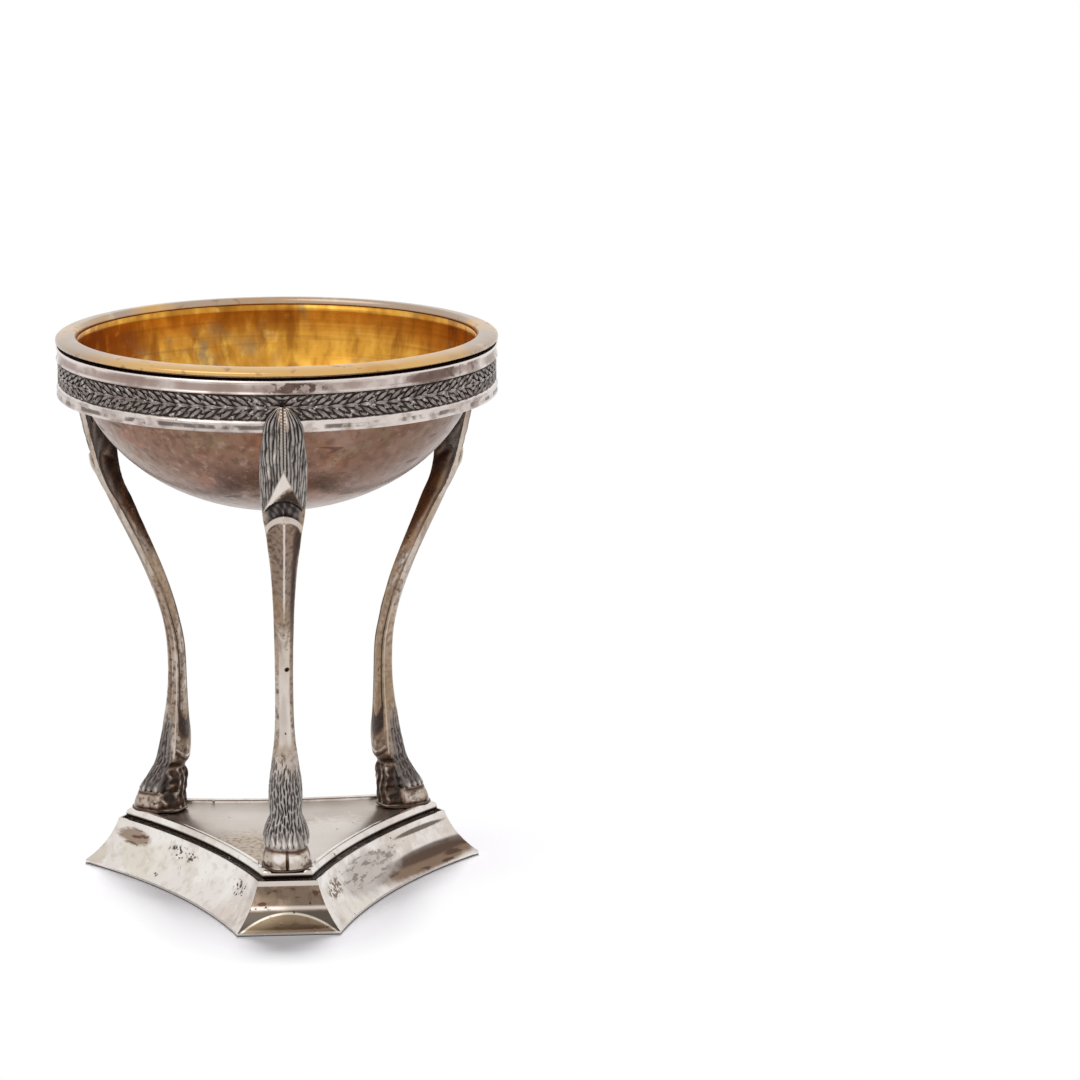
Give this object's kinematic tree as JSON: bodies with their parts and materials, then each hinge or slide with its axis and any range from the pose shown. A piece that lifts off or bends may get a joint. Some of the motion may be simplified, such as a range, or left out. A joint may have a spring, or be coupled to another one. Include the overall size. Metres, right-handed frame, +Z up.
{
  "type": "salt cellar",
  "caption": "Tripod salt cellar: loose round gilt bowl in a laurel ring on cast legs with cloven hooves, over a hollow concave-sided triangular base",
  "frame": {"origin": "Middle of the base, on the table, on the bowl's axis", "axes": "+Z is up along the bowl's axis; -Y points at the front leg and the front corner of the base; +X is to the right when the front leg is seen from the front"},
  "size_m": [0.071, 0.072, 0.0911],
  "materials": {
    "worn_silver": "old polished silver with soft wear, small pits and thin tarnish",
    "cast_silver": "cast and chased silver, bright on the ridges and brown in the hollows",
    "chased_silver": "rolled laurel relief, bright leaves on a dark ground",
    "plate_silver": "flat silver sheet with mottled warm tarnish",
    "dull_silver": "unpolished silver of hidden fastenings",
    "rim_gilt": "pale worn gilding, polished",
    "bowl_gilt": "gilt inside with worn grey patches, pinkish worn silver outside"
  },
  "bodies": {
    "stand": {"ring_band": "worn_silver", "upper_fillet": "worn_silver", "laurel_frieze": "chased_silver", "lower_fillet": "worn_silver", "leg_front": "cast_silver", "leg_right": "cast_silver", "leg_left": "cast_silver", "leg_studs": "dull_silver", "leg_nuts": "dull_silver", "base_plate": "plate_silver", "base_corner_front": "worn_silver", "base_corner_right": "worn_silver", "base_corner_left": "worn_silver", "base_side_right": "worn_silver", "base_side_back": "worn_silver", "base_side_left": "worn_silver"},
    "bowl": {"bowl_shell": "bowl_gilt", "bowl_rim": "rim_gilt"}
  },
  "joints": [
    {"name": "bowl_lift", "type": "slide", "parent": "stand", "child": "bowl", "axis": [0, 0, 1], "range_m": [0, 0.03]}
  ]
}
